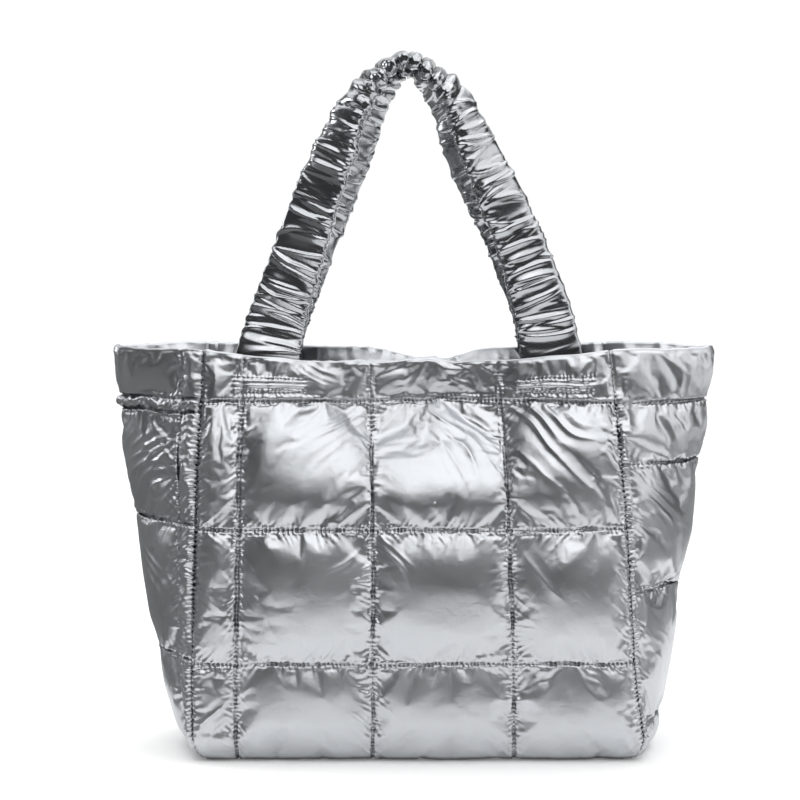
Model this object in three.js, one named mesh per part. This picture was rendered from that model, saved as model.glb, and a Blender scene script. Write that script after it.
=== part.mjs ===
// Quilted satin tote bag: five padded panels sewn into an open bag, and two ruched handles.
// Millimetres, +Z up, front towards -Y, origin on the floor under the middle of the base.
import * as THREE from "three";
import { LoftGeometry } from "three/addons/geometries/LoftGeometry.js";

// Driving dimensions
const HEIGHT = 278; // floor to rim, at the corner seams
const WALL = 3; // padded cloth where it is stitched flat
const PUFF = 9; // how far a full quilted cell swells outwards
const FULL_CELL = 80; // a cell narrower than this swells less
const PUFF_INSIDE = 0.15; // share of that swelling on the inner face
const PUFF_BASE = 0.5; // share of it on the base panel, towards the inside
const PLUMP = 0.65; // roundness of a cell, lower is fuller at the stitching
const SEAM_GAP = 0.8; // clearance between neighbouring pieces
const CORNER = 18; // radius of the bottom edge, front and back
const TUCK = 0.8; // how far the ends of the bottom are rounded in, as a share of that radius
const UNDERLAP = 24; // front and back panels run this far in under the bag
const FOLD = 0.3; // roundness of the gusset's fold, as a share of its half depth
const HEM = 0.12; // place of the rolled rim inside its quilted cell
const HEM_BAND = 34; // height of the doubled band under the rim, which stands steeper than the cells below
const BELLY = 7; // bulge of the front and back panels at half height

// The bag's plan at shares of its height.
// The gussets lie flat at the base and fold out into wings at the rim.
const SECTIONS = [
  { share: 0, depth: 70, left: -154, right: 154, wing: 161 },
  { share: 0.25, depth: 69, left: -152, right: 151, wing: 175 },
  { share: 0.5, depth: 65, left: -150, right: 147, wing: 186 },
  { share: 0.75, depth: 54, left: -148, right: 142, wing: 197 },
  { share: 0.9, depth: 39, left: -146, right: 138, wing: 203 },
  { share: 1, depth: 33, left: -145, right: 135, wing: 208 },
];

// Dents of the rim: both long edges are drawn together near the middle and roll outwards.
// The front one sags. The back one falls open, and dips behind the place where the front one is drawn in.
const PINCH = { x: 11, reach: 125, below: 70, leaves: 20 };
const SAG = { front: 9, back: 3.5 };
const DIP = { depth: 8, reach: 45 };
const LIP = { front: 3, back: 14 };

// Quilting lines: columns as shares of a panel's width, rows as heights above the floor.
const QUILT = {
  front: { columns: [0, 0.1, 0.41, 0.725, 1], rows: [67, 159, 244] },
  back: { columns: [0, 0.275, 0.59, 0.9, 1], rows: [67, 159, 244] },
  left: { columns: [0, 0.095, 0.765, 1], rows: [70, 162, 243] },
  right: { columns: [0, 0.625, 1], rows: [24, 115, 202, 243] },
  base: { columns: [0, 0.1, 0.41, 0.725, 1] },
};
const FACET = { across: 19, gussetAcross: 13, up: 18, corner: 6, handle: 5.6, handleSides: 10 };

// Handles: a row for each station from the left end to the right end.
// Below the rim the strap lies on the wall. "out" is the distance from the bag's middle plane,
// and "twist" turns the strap's face outwards.
const STRAP_GAP = 1.5; // clearance behind the stitched wall
const FRONT_HANDLE = [
  { x: -101, z: 247, out: 0, width: 44, thickness: 5, twist: 0 },
  { x: -101, z: 262, out: 0, width: 44, thickness: 5, twist: 0 },
  { x: -100.5, z: 278, out: 0, width: 44, thickness: 7, twist: 0 },
  { x: -96, z: 296, out: 22, width: 42, thickness: 10, twist: 0 },
  { x: -79, z: 350, out: 21, width: 37, thickness: 12, twist: 10 },
  { x: -54.5, z: 417, out: 22, width: 33, thickness: 13, twist: 32 },
  { x: -30, z: 464, out: 19, width: 28, thickness: 14, twist: 64 },
  { x: -7, z: 480, out: 17, width: 26, thickness: 14, twist: 90 },
  { x: 21, z: 464, out: 19, width: 27, thickness: 14, twist: 64 },
  { x: 45.5, z: 417, out: 22, width: 31, thickness: 13, twist: 32 },
  { x: 75, z: 350, out: 21, width: 35, thickness: 12, twist: 10 },
  { x: 92, z: 296, out: 22, width: 41, thickness: 10, twist: 0 },
  { x: 95, z: 278, out: 0, width: 43, thickness: 7, twist: 0 },
  { x: 97, z: 262, out: 0, width: 44, thickness: 5, twist: 0 },
  { x: 97, z: 247, out: 0, width: 44, thickness: 5, twist: 0 },
];

// The back handle against the front one: lower, and narrower towards its top.
const BACK_ARCH = { rise: 0.965, narrower: 0.35, curve: 1.5 };
const TOP = Math.max(...FRONT_HANDLE.map(({ z }) => z));
const BACK_HANDLE = FRONT_HANDLE.map((row) => {
  const climb = Math.max(0, row.z - HEIGHT) / (TOP - HEIGHT);
  return {
    ...row,
    x: row.x * (1 - BACK_ARCH.narrower * Math.pow(climb, BACK_ARCH.curve)),
    z: row.z > HEIGHT ? HEIGHT + (row.z - HEIGHT) * BACK_ARCH.rise : row.z,
  };
});
const RUCHE = { depth: 1.5, varies: 0.3, cycle: 7 }; // gathers on the handles, uneven from fold to fold
const STRAP_ROUND = 0.8; // flattened oval of the strap, 1 for an ellipse

const UP = new THREE.Vector3(0, 0, 1);
const STEP = 0.5; // millimetres between samples when a normal is measured
const satin = new THREE.MeshStandardMaterial({ color: 0xb4b7bb, roughness: 0.32, metalness: 0.9 });

// Gives a table's columns at any value of its key, on a smooth curve through the rows.
function tableCurve(rows, key) {
  const columns = Object.keys(rows[0]).filter((name) => name !== key);
  const values = rows.flatMap((row) => columns.map((name) => row[name]));
  const keys = rows.map((row) => row[key]);
  const curve = new THREE.CubicInterpolant(keys, values, columns.length);
  return (at) => {
    const found = curve.evaluate(at);
    return Object.fromEntries(columns.map((name, i) => [name, found[i]]));
  };
}

const sectionAtShare = tableCurve(SECTIONS, "share");
const sectionAt = (z) => sectionAtShare(z / HEIGHT);

// A hump that is 1 at the middle and falls to 0 at the given reach.
const hump = (offset, reach) => 0.5 + 0.5 * Math.cos(Math.PI * Math.min(1, Math.abs(offset) / reach));

// Height of a padded cell over its own width, 0 at the stitching and 1 in the middle.
const pillow = (share) => Math.pow(Math.sin(Math.PI * THREE.MathUtils.clamp(share, 0, 1)), PLUMP);

// How far the bottom edge's curve lies in from the panel above it, at a height under the corner radius.
function cornerInset(z) {
  const drop = Math.max(0, CORNER - z);
  return CORNER - Math.sqrt(CORNER * CORNER - drop * drop);
}

const tuckAt = (z) => TUCK * cornerInset(z);

// Length of cloth from the base seam to the place where the wall stands straight.
const FLAT_RUN = UNDERLAP - CORNER;
const CORNER_RUN = (CORNER * Math.PI) / 2;
const runAt = (z) => FLAT_RUN + CORNER_RUN + z - CORNER;

// Height and inset of a point on the front or back panel, by its length of cloth from the base seam.
function wallAt(run) {
  const turn = THREE.MathUtils.clamp((run - FLAT_RUN) / CORNER, 0, Math.PI / 2);
  const underneath = Math.max(0, FLAT_RUN - run);
  return {
    z: CORNER * (1 - Math.cos(turn)) + Math.max(0, run - FLAT_RUN - CORNER_RUN),
    inset: CORNER * (1 - Math.sin(turn)) + underneath,
  };
}

// Middle of the front (face -1) or back (face 1) wall, from the left seam at 0 to the right seam at 1.
function longWall(face, across, run) {
  const { z, inset } = wallAt(run);
  const { depth, left, right } = sectionAt(z);
  const x = THREE.MathUtils.lerp(left, right, across) - Math.pow(2 * across - 1, 7) * tuckAt(z);
  const bow = 4 * across * (1 - across);
  const nearRim = hump(HEIGHT - z, HEM_BAND);
  const atRim = bow * nearRim;
  const belowHem = Math.max(0, HEIGHT - HEM_BAND - z);
  const drawn = hump(x - PINCH.x, PINCH.reach) * hump(belowHem, PINCH.below);
  const dip = face < 0 ? 0 : DIP.depth * hump(x - PINCH.x, DIP.reach) * nearRim;
  const sag = (face < 0 ? SAG.front : SAG.back) * atRim + dip;
  const lip = (face < 0 ? LIP.front : LIP.back) * atRim;
  const bulge = BELLY * bow * Math.sin((Math.PI * Math.min(z, HEIGHT)) / HEIGHT);
  const out = THREE.MathUtils.lerp(depth + bulge + lip - inset, PINCH.leaves, drawn);
  return new THREE.Vector3(x, face * out, WALL / 2 + z - sag);
}

// Middle of the left (side -1) or right (side 1) gusset, from the front seam at -1 to the back seam at 1.
function gussetWall(side, across, z) {
  const { depth, left, right, wing } = sectionAt(z);
  const seam = side < 0 ? left : right;
  const fold = (Math.hypot(across, FOLD) - FOLD) / (Math.hypot(1, FOLD) - FOLD);
  const x = THREE.MathUtils.lerp(side * wing, seam, fold) - side * tuckAt(z);
  return new THREE.Vector3(x, across * (depth - cornerInset(z)), WALL / 2 + z);
}

// Outward normal of a surface given by two directions along it.
const crossNormal = (a, b) => new THREE.Vector3().crossVectors(a, b).normalize();

function longWallNormal(face, across, run) {
  const along = longWall(face, across + 0.002, run).sub(longWall(face, across - 0.002, run));
  const up = longWall(face, across, run + STEP).sub(longWall(face, across, run - STEP));
  return crossNormal(along, up).multiplyScalar(-face);
}

function gussetNormal(side, across, z) {
  const along = gussetWall(side, across + 0.01, z).sub(gussetWall(side, across - 0.01, z));
  const low = Math.max(0, z - STEP);
  const up = gussetWall(side, 0.999 * across, z + STEP).sub(gussetWall(side, 0.999 * across, low));
  return crossNormal(along, up).multiplyScalar(side);
}

// Offset that keeps two walls as thick as they are where they meet at an angle.
const mitre = (a, b) => a.clone().add(b).divideScalar(1 + a.dot(b));

// Swelling at a place of a quilted cell of the given length.
const swell = (share, length) => pillow(share) * Math.min(1, length / FULL_CELL);

// Cuts the stretches between quilting lines into facets, each place with the swelling it has.
function quiltPlaces(marks, spacing, hemmed = false) {
  const places = [{ at: marks[0], rise: 0 }];
  for (let i = 1; i < marks.length; i++) {
    const length = marks[i] - marks[i - 1];
    const count = Math.max(2, Math.round(length / spacing));
    const span = hemmed && i === marks.length - 1 ? 1 - HEM : 1;
    for (let k = 1; k <= count; k++) {
      const share = k / count;
      places.push({ at: marks[i - 1] + length * share, rise: swell(share * span, length) });
    }
  }
  return places;
}

// The two faces of a wall at one place. Cloth that would reach under the floor lies flat on it.
function faces(middle, offset, rise) {
  const outer = middle.clone().addScaledVector(offset, WALL / 2 + PUFF * rise);
  const inner = middle.clone().addScaledVector(offset, -WALL / 2 - PUFF * PUFF_INSIDE * rise);
  outer.z = Math.max(0, outer.z);
  return { outer, inner };
}

// A closed wall lofted through rows of faces.
function wallGeometry(rows, columns, facesAt, reversed) {
  const sections = rows.map((row) => {
    const places = columns.map((column) => facesAt(column, row));
    const ring = [...places.map((p) => p.outer), ...places.map((p) => p.inner).reverse()];
    return reversed ? ring.reverse() : ring;
  });
  return new LoftGeometry(sections, { capStart: true, capEnd: true });
}

// Keeps a place half a seam gap inside its panel.
const insideSeams = (at, low, high, gap) => THREE.MathUtils.clamp(at, low + gap, high - gap);

// Front or back panel, from its seam under the bag to the rim.
function longPanel(face, quilt) {
  const width = SECTIONS[0].right - SECTIONS[0].left;
  const columns = quiltPlaces(quilt.columns.map((share) => share * width), FACET.across);
  const lowest = FLAT_RUN + CORNER_RUN;
  const cell = runAt(quilt.rows[0]);
  const cornerStep = CORNER_RUN / FACET.corner;
  const corner = Array.from({ length: FACET.corner + 1 }, (_, i) => FLAT_RUN + cornerStep * i);
  const rows = [
    { at: SEAM_GAP / 2, rise: 0 },
    ...corner.map((run) => ({ at: run })),
    ...quiltPlaces([lowest, ...quilt.rows.map(runAt), runAt(HEIGHT)], FACET.up, true).slice(1),
  ];
  for (const row of rows.filter(({ at }) => at > SEAM_GAP && at < cell)) {
    row.rise = swell(row.at / cell, cell);
  }
  return wallGeometry(
    rows,
    columns,
    (column, row) => {
      const across = insideSeams(column.at / width, 0, 1, SEAM_GAP / 2 / width);
      const own = longWallNormal(face, across, row.at);
      const side = Math.sign(column.at - width / 2);
      const edge = column.at <= 0 || column.at >= width;
      const { z, inset } = wallAt(row.at);
      const turn = z > 0 ? face : (face * (SECTIONS[0].depth - inset)) / (SECTIONS[0].depth - CORNER);
      const offset = edge ? mitre(own, gussetNormal(side, turn, z)) : own;
      return faces(longWall(face, across, row.at), offset, column.rise * row.rise);
    },
    face > 0,
  );
}

// Side panel, from its seam with the base to the rim.
function gusset(side, quilt) {
  const width = 2 * SECTIONS[0].depth;
  const columns = quiltPlaces(quilt.columns.map((share) => share * width), FACET.gussetAcross);
  const curved = Array.from({ length: FACET.corner }, (_, i) => {
    const turn = (Math.PI / 2) * (i / FACET.corner);
    return CORNER * (1 - Math.cos(turn));
  });
  const cell = quilt.rows[0];
  const rows = [
    ...curved.map((z) => ({ at: z })),
    ...quiltPlaces([CORNER, ...quilt.rows, HEIGHT], FACET.up, true),
  ];
  for (const row of rows.filter(({ at }) => at < cell)) row.rise = swell(row.at / cell, cell);
  return wallGeometry(
    rows,
    columns,
    (column, row) => {
      const share = insideSeams(column.at / width, 0, 1, SEAM_GAP / 2 / width);
      const across = 2 * share - 1;
      const own = gussetNormal(side, across, row.at);
      const face = Math.sign(across);
      const edge = column.at <= 0 || column.at >= width;
      const bottom = row.at <= 0;
      const wall = longWallNormal(face, side < 0 ? 0 : 1, runAtCorner(row.at));
      const meets = bottom ? UP.clone().negate() : wall;
      const offset = edge || bottom ? mitre(own, meets) : own;
      const middle = gussetWall(side, across, row.at);
      if (bottom) middle.x += (side * SEAM_GAP) / 2;
      return faces(middle, offset, column.rise * row.rise);
    },
    side < 0,
  );
}

// Length of cloth from the base seam at a height, through the rounded bottom edge.
function runAtCorner(z) {
  if (z >= CORNER) return runAt(z);
  return FLAT_RUN + CORNER * Math.acos(1 - z / CORNER);
}

// Bottom panel: flat where it stands, swelling into the bag.
function base(quilt) {
  const { left, right, depth } = SECTIONS[0];
  const width = right - left - 2 * tuckAt(0);
  const columns = quiltPlaces(quilt.columns.map((share) => share * width), FACET.across);
  const half = depth - UNDERLAP;
  const rows = quiltPlaces([-half, 0, half], FACET.up);
  return wallGeometry(
    rows,
    columns,
    (column, row) => {
      const x = left + tuckAt(0) + insideSeams(column.at, 0, width, SEAM_GAP / 2);
      const y = insideSeams(row.at, -half, half, SEAM_GAP / 2);
      const edge = column.at <= 0 || column.at >= width;
      const down = UP.clone().negate();
      const side = Math.sign(x);
      const offset = edge ? mitre(down, gussetNormal(side, y / (depth - CORNER), 0)) : down;
      const pair = faces(new THREE.Vector3(x, y, WALL / 2), offset, 0);
      pair.inner.z += PUFF_BASE * PUFF * column.rise * row.rise;
      return pair;
    },
    true,
  );
}

// A point behind the front or back wall, as far in from the wall's inner face as given.
function behindWall(face, x, z, depth) {
  const { left, right } = sectionAt(z);
  const across = (x - left) / (right - left);
  const run = runAt(z);
  const stand = WALL / 2 + STRAP_GAP + depth;
  return longWall(face, across, run).addScaledVector(longWallNormal(face, across, run), -stand);
}

// Middle of the strap at a station.
function handleCentre(face, row) {
  if (row.z > HEIGHT) return new THREE.Vector3(row.x, face * row.out, row.z);
  return behindWall(face, row.x, row.z, row.thickness / 2);
}

// Ruched tube lofted along the handle's stations.
function handle(face, table) {
  const curve = new THREE.CatmullRomCurve3(table.map((row) => handleCentre(face, row)));
  const stations = tableCurve(table.map((row, index) => ({ index, ...row })), "index");
  const count = Math.round(curve.getLength() / FACET.handle);
  const sections = Array.from({ length: count + 1 }, (_, k) => {
    const t = curve.getUtoTmapping(k / count);
    const centre = curve.getPoint(t);
    const { width, thickness, twist } = stations(t * (table.length - 1));
    const uneven = 1 - RUCHE.varies + RUCHE.varies * Math.sin(RUCHE.cycle * k);
    const gather = centre.z > HEIGHT ? RUCHE.depth * Math.cos(Math.PI * k) * uneven : 0;
    const ring = strapSection(face, centre, curve.getTangent(t), width + gather, thickness + gather, twist);
    return ring.map((point) => clearOfWall(face, point, centre, thickness));
  });
  return new LoftGeometry(sections, { capStart: true, capEnd: true });
}

// Lays a strap's point along the wall's curve below the rim, and leaves it as it is above.
function clearOfWall(face, point, centre, thickness) {
  if (centre.z > HEIGHT) return point;
  const z = Math.min(point.z, HEIGHT);
  const own = behindWall(face, point.x, z, thickness / 2);
  const middle = behindWall(face, centre.x, z, thickness / 2);
  return point.clone().setY(point.y + own.y - middle.y);
}

// A flattened oval across the strap, turned about the strap's own direction.
function strapSection(face, centre, along, width, thickness, twist) {
  const facing = new THREE.Vector3(0, face, 0);
  const across = new THREE.Vector3().crossVectors(along, facing).normalize();
  const normal = new THREE.Vector3().crossVectors(along, across);
  const turn = new THREE.Quaternion().setFromAxisAngle(along, face * THREE.MathUtils.degToRad(twist));
  across.applyQuaternion(turn);
  normal.applyQuaternion(turn);
  const flat = (value) => Math.sign(value) * Math.pow(Math.abs(value), STRAP_ROUND);
  return Array.from({ length: FACET.handleSides }, (_, i) => {
    const angle = (2 * Math.PI * (i + 0.5)) / FACET.handleSides;
    return centre
      .clone()
      .addScaledVector(across, (width / 2) * flat(Math.cos(angle)))
      .addScaledVector(normal, (thickness / 2) * flat(Math.sin(angle)));
  });
}

function piece(name, geometry) {
  const mesh = new THREE.Mesh(geometry, satin);
  mesh.name = name;
  return mesh;
}

const bag = new THREE.Group();
bag.add(
  piece("front_panel", longPanel(-1, QUILT.front)),
  piece("back_panel", longPanel(1, QUILT.back)),
  piece("left_gusset", gusset(-1, QUILT.left)),
  piece("right_gusset", gusset(1, QUILT.right)),
  piece("base_panel", base(QUILT.base)),
  piece("front_handle", handle(-1, FRONT_HANDLE)),
  piece("back_handle", handle(1, BACK_HANDLE)),
);

export default bag;
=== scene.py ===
import math
import time

import bpy
import numpy as np
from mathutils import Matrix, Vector


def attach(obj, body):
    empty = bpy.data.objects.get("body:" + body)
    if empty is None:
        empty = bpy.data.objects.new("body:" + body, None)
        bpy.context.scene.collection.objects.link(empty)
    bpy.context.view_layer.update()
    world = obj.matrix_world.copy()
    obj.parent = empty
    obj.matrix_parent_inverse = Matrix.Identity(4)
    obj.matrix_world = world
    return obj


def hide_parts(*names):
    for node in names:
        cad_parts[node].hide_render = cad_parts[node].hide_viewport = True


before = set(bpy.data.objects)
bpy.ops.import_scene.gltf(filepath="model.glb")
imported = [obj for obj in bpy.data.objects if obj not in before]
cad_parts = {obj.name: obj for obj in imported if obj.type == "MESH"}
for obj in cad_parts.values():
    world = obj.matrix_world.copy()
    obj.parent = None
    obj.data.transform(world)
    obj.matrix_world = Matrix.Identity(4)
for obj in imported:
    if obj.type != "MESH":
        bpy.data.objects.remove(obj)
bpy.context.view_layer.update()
started = time.time()
mm = 0.001
tiny = 1e-9  # least length to divide by
noiseCells = 64  # the noise repeats after so many units

# Plan of the bag, in mm. The tables give sizes at each share of its height.
# Gussets lie flat at the base and fold out into wings at the rim.
bag = {
    "height": 278, "wall": 3, "corner": 18, "underlap": 24, "belly": 7, "fold": 0.3, "hem": 34,
    "tuck": {"by": 0.8, "sharp": 7},
    "taper": {"left": 2, "right": -5, "below": 70},
    "share": (0, 0.25, 0.5, 0.75, 0.9, 1),
    "depth": (70, 69, 65, 54, 39, 33),
    "left": (-154, -152, -150, -148, -146, -145),
    "right": (154, 151, 147, 142, 138, 135),
    "wing": (161, 175, 186, 197, 203, 208),
    "pinch": {"x": 11, "reach": 125, "below": 70, "leaves": 20},
    "lip": {"front": 3, "back": 14},
    "sag": {"front": 9, "back": 3.5, "below": 34},
    "dip": {"front": -3.5, "back": 8, "reach": {"front": 22.5, "back": 45}},
}
flatRun = bag["underlap"] - bag["corner"]
cornerRun = bag["corner"] * math.pi / 2


def report(stage):
    print(f"[{time.time() - started:6.1f} s] {stage}", flush=True)


def smoothStep(t):
    return t * t * (3 - 2 * t)


# Smooth curve through a short table: cubic pieces that share their slopes.
def curveThrough(keys, values):
    keys, values = np.array(keys, float), np.array(values, float)
    slopes = np.gradient(values, keys, edge_order=2)

    def at(where):
        where = np.clip(where, keys[0], keys[-1])
        i = np.clip(np.searchsorted(keys, where, side="right") - 1, 0, len(keys) - 2)
        span = keys[i + 1] - keys[i]
        t = (where - keys[i]) / span
        rise, fall = smoothStep(t), t * (1 - t)
        bend = slopes[i] * (1 - t) - slopes[i + 1] * t
        return values[i] * (1 - rise) + values[i + 1] * rise + span * fall * bend

    return at


planAt = {name: curveThrough(bag["share"], bag[name]) for name in ("depth", "left", "right", "wing")}


# 1 at no offset, down to 0 at the reach.
def hump(offset, reach):
    return 0.5 + 0.5 * np.cos(np.pi * np.minimum(1, np.abs(offset) / reach))


def runAt(z):
    return flatRun + cornerRun + z - bag["corner"]


# Height of cloth at a run from the hidden base seam, and how far it lies in from the wall above it.
def wallAt(run):
    turn = np.clip((run - flatRun) / bag["corner"], 0, math.pi / 2)
    z = bag["corner"] * (1 - np.cos(turn)) + np.maximum(0, run - flatRun - cornerRun)
    inset = bag["corner"] * (1 - np.sin(turn)) + np.maximum(0, flatRun - run)
    return z, inset


# How far a rounded lower edge lies in, below the height where the walls begin.
def arcInset(z):
    low = np.maximum(0, bag["corner"] - z)
    return bag["corner"] - np.sqrt(bag["corner"] ** 2 - low**2)


# How far the two ends come in low down: by their rounded corners and by their taper.
def tuckAt(z, taper):
    return bag["tuck"]["by"] * arcInset(z) + taper * hump(z, bag["taper"]["below"])


# Middle of the front (face -1) or back (face 1) wall, in mm.
def longWall(face, across, run):
    end = "front" if face < 0 else "back"
    pinch, sag, dip = bag["pinch"], bag["sag"], bag["dip"]
    z, inset = wallAt(run)
    share = z / bag["height"]
    x = planAt["left"](share) * (1 - across) + planAt["right"](share) * across
    taper = np.where(across < 0.5, bag["taper"]["left"], bag["taper"]["right"])
    x = x - (2 * across - 1) ** bag["tuck"]["sharp"] * tuckAt(z, taper)
    bow = 4 * across * (1 - across)
    below = bag["height"] - z
    near = hump(x - pinch["x"], pinch["reach"])
    drawn = near * hump(below - bag["hem"], pinch["below"])
    drawn = np.where(below < bag["hem"], near, drawn) * (z > bag["corner"])
    bulge = bag["belly"] * bow * np.sin(np.pi * np.minimum(share, 1))
    lip = bag["lip"][end] * bow * hump(below, bag["hem"])
    out = planAt["depth"](share) + bulge - inset + lip
    out = out * (1 - drawn) + pinch["leaves"] * drawn
    drop = sag[end] * bow + dip[end] * hump(x - pinch["x"], dip["reach"][end])
    drop = drop * hump(below, sag["below"])
    return np.stack([x, face * out, bag["wall"] / 2 + z - drop], -1)


# Middle of the left (side -1) or right (side 1) gusset, from the front seam at -1 to the back seam at 1.
def gussetWall(side, across, z):
    end = "left" if side < 0 else "right"
    share, fold = z / bag["height"], bag["fold"]
    bend = (np.hypot(across, fold) - fold) / (np.hypot(1, fold) - fold)
    x = side * planAt["wing"](share) * (1 - bend) + planAt[end](share) * bend
    x = x - side * tuckAt(z, bag["taper"][end])
    return np.stack([x, across * (planAt["depth"](share) - arcInset(z)), bag["wall"] / 2 + z], -1)


# Even steps between marks, with every mark kept. Gives the places and which of them are marks.
def stepsBetween(marks, pitch):
    places, isMark = [marks[0]], [True]
    for low, high in zip(marks[:-1], marks[1:]):
        count = max(2, round((high - low) / pitch))
        places += list(np.linspace(low, high, count + 1)[1:])
        isMark += [False] * (count - 1) + [True]
    return np.array(places), np.array(isMark)


# Arch over each cell between marks: 0 at the marks and 1 halfway.
def cellArch(places, marks):
    marks = np.array(marks, float)
    i = np.clip(np.searchsorted(marks, places, side="right") - 1, 0, len(marks) - 2)
    return np.abs(np.sin(np.pi * ((places - marks[i]) / (marks[i + 1] - marks[i]))))


def fromMarks(places, marks):
    return np.abs(places[:, None] - marks).min(1)


def unit(vectors):
    return vectors / np.maximum(np.linalg.norm(vectors, axis=-1, keepdims=True), tiny)


def gridNormals(points):
    return unit(np.cross(np.gradient(points, axis=1), np.gradient(points, axis=0)))


# Length along a line of points, at each of them.
def lengthsOf(points):
    return np.concatenate([[0], np.cumsum(np.linalg.norm(np.diff(points, axis=0), axis=1))])


def alongLine(values, length, where):
    return np.stack([np.interp(where, length, values[:, i]) for i in range(3)], -1)


# Value noise between -1 and 1, smooth over one unit.
def softNoise(x, y, seed):
    table = np.random.default_rng(seed).uniform(-1, 1, (noiseCells, noiseCells))
    xi, yi = np.floor(x).astype(int), np.floor(y).astype(int)
    tx, ty = smoothStep(x - xi), smoothStep(y - yi)

    def corner(i, k):
        return table[(xi + i) % noiseCells, (yi + k) % noiseCells]

    low = corner(0, 0) * (1 - tx) + corner(1, 0) * tx
    high = corner(0, 1) * (1 - tx) + corner(1, 1) * tx
    return low * (1 - ty) + high * ty


def lineNoise(along, seed):
    return softNoise(along, along * 0, seed)


def quadsOf(rows, columns, offset=0):
    i = np.arange(rows * columns).reshape(rows, columns) + offset
    return np.stack([i[:-1, :-1], i[:-1, 1:], i[1:, 1:], i[1:, :-1]], -1).reshape(-1, 4)


def meshObject(name, vertices, faces):
    mesh = bpy.data.meshes.new(name)
    mesh.from_pydata(vertices.tolist(), [], faces)
    mesh.update()
    piece = bpy.data.objects.new(name, mesh)
    bpy.context.scene.collection.objects.link(piece)
    return piece


def shadeSmooth(piece):
    piece.data.polygons.foreach_set("use_smooth", [True] * len(piece.data.polygons))


# Satin cloth, with Blender's names for its settings. It is longer than the stitching that holds it, by 2%
# where taut and 5.5% where slack. shrink_min goes first, because shrink_max can't be set below it.
# "slack" says how slack each part is; seams draw on the cloth "within" so many mm.
satinCloth = {
    "settings": {"quality": 4, "mass": 0.3, "tension_stiffness": 15, "compression_stiffness": 15,
                 "shear_stiffness": 5, "bending_stiffness": 0.2, "use_pressure": True,
                 "uniform_pressure_force": 8, "shrink_min": -0.055, "shrink_max": -0.02},
    "frames": 26,
    "slack": {"within": 6, "cloth": 0.4, "hem": 0.08, "seams": 0.7, "rows": 0.75, "rowsCloser": 1.4,
              "hemRows": 0.12},
}


# Runs Blender's cloth on a grid of points in mm and gives the settled points back.
def settleCloth(name, points, held, flip, slack):
    rows, columns = points.shape[:2]
    piece = meshObject(name, points.reshape(-1, 3) * mm, quadsOf(rows, columns)[:, ::flip].tolist())
    pins = piece.vertex_groups.new(name="pins")
    pins.add(np.flatnonzero(held.ravel()).tolist(), 1.0, "REPLACE")
    modifier = piece.modifiers.new("cloth", "CLOTH")
    settings = modifier.settings
    settings.vertex_group_mass = "pins"
    for key, value in satinCloth["settings"].items():
        setattr(settings, key, value)
    taut = piece.vertex_groups.new(name="taut")
    for index, weight in enumerate(1 - slack.ravel()):
        taut.add([index], float(weight), "REPLACE")
    settings.vertex_group_shrink = "taut"
    settings.effector_weights.gravity = 0
    modifier.collision_settings.use_collision = False
    modifier.point_cache.frame_end = satinCloth["frames"]
    for number in range(1, satinCloth["frames"] + 1):
        bpy.context.scene.frame_set(number)
    evaluated = piece.evaluated_get(bpy.context.evaluated_depsgraph_get())
    settled = np.empty(rows * columns * 3, np.float32)
    evaluated.data.vertices.foreach_get("co", settled)
    bpy.data.objects.remove(piece)
    bpy.context.scene.frame_set(1)
    report(f"{name} settled, {rows * columns} points")
    return settled.reshape(rows, columns, 3).astype(float) / mm


# Values of a grid at places between its own rows or columns, on smooth curves through them.
def sampled(values, places, axis):
    values = np.moveaxis(values, axis, 0)
    values = np.concatenate([2 * values[:1] - values[1:2], values, 2 * values[-1:] - values[-2:-1]])
    i = np.minimum(places.astype(int), len(values) - 4)
    t = (places - i).reshape((-1,) + (1,) * (values.ndim - 1))
    before, low, high, after = (values[i + k] for k in range(4))
    turn = 2 * before - 5 * low + 4 * high - after
    curve = low + t / 2 * (high - before + t * (turn + t * (3 * (low - high) + after - before)))
    return np.moveaxis(curve, 0, axis)


# Takes out creases as small as the grid itself, and leaves the stitched lines where they are.
def eased(points, held):
    padded = np.pad(points, ((1, 1), (1, 1), (0, 0)), mode="edge")
    around = (padded[:-2, 1:-1] + padded[2:, 1:-1] + padded[1:-1, :-2] + padded[1:-1, 2:]) / 4
    return np.where(held[..., None], points, points / 2 + around / 2)


# Crimps beside a seam, in mm. Stitches draw the cloth up across the seam, and short and long puckers lean
# away from it on either side. What ends in "Over" is the length that a value varies over: for a stitch
# or pucker in pitches, but for a pucker's second in mm. "tab" is where a handle's end is sewn on.
crimps = {
    "groove": {"depth": 1.0, "reach": 1.3, "wander": 0.7, "wanderOver": 2.6,
               "even": 0.75, "uneven": 0.45, "unevenOver": 4},
    "stitch": {"pitch": 3.1, "depth": 1.5, "reach": 2.4, "fade": 1.3, "level": 0.6, "lean": 0.5, "leanOver": 5,
               "drift": 0.6, "driftOver": (2.3, 3), "even": 0.8, "uneven": 0.5, "unevenOver": 1.8},
    "short": {"pitch": 3.4, "depth": 0.8, "reach": 7, "lean": 1.1},
    "long": {"pitch": 5.2, "depth": 1.1, "reach": 19, "lean": 1.1},
    "pucker": {"leanMore": 1.8, "leanOver": 8, "drift": 0.5, "driftOver": (2.3, 30),
               "least": 0.2, "sorts": 128, "sharp": 1.3, "clear": 1.5},
    "tab": {"stitch": 0.8, "soft": 3, "half": 7, "rise": 0.9, "ridge": 0.5, "spacing": 4,
            "wander": 0.6, "wanderOver": (9, 5)},
    "inHem": 0.3, "atEdges": 0.4, "inRows": 0.7,
}


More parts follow.
